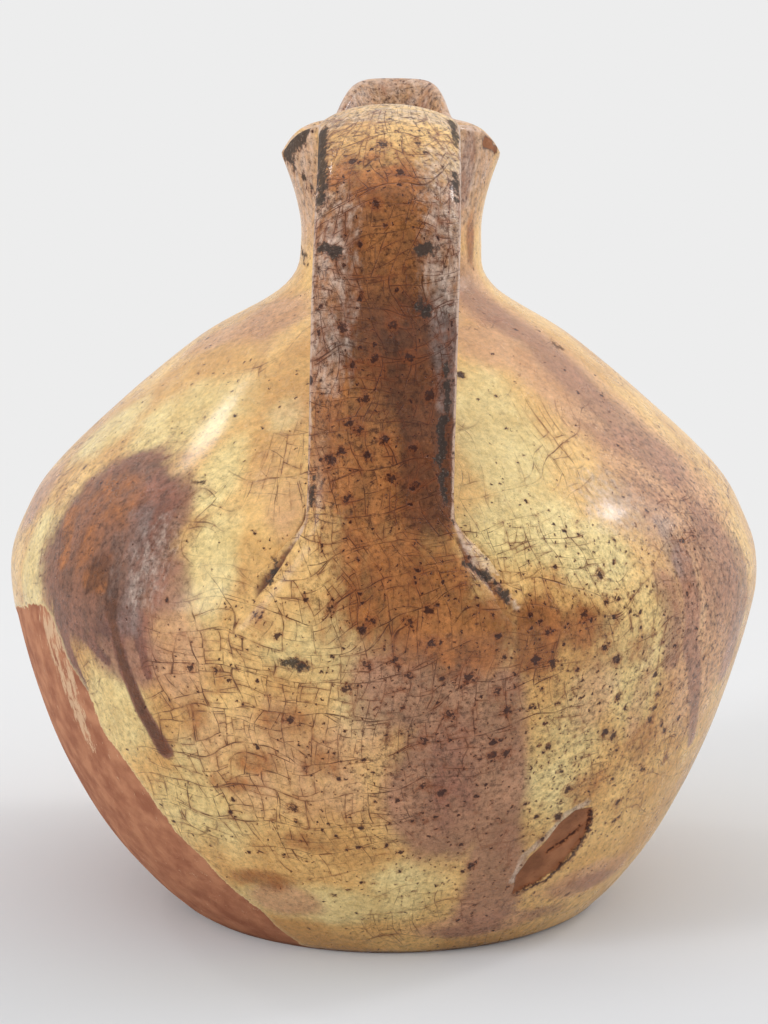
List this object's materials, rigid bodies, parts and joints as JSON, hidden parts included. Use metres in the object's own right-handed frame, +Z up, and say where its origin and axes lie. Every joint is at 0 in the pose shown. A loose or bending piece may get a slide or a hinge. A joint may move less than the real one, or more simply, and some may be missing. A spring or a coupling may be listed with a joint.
{
  "type": "water pitcher",
  "caption": "Rustic glazed earthenware water pitcher with a round belly, narrow neck, pinched mouth with a pulled spout, and a broad strap handle.",
  "frame": {"origin": "on the belly's axis at the flat of the foot, which stands on the table", "axes": "+Z up along the belly's axis, +Y towards the spout, the handle at -Y"},
  "size_m": [0.22, 0.2221, 0.2419],
  "materials": {
    "ochre_glaze": "glossy crazed yellow-ochre lead glaze over terracotta, mottled brown",
    "brown_glaze": "glossy red-brown glaze with crazing and worn spots"
  },
  "bodies": {
    "root": {"lower_body": "ochre_glaze", "upper_body": "ochre_glaze", "neck_collar": "ochre_glaze", "strap_handle": "brown_glaze", "handle_top_luting": "brown_glaze", "handle_bottom_luting": "brown_glaze"}
  },
  "joints": []
}
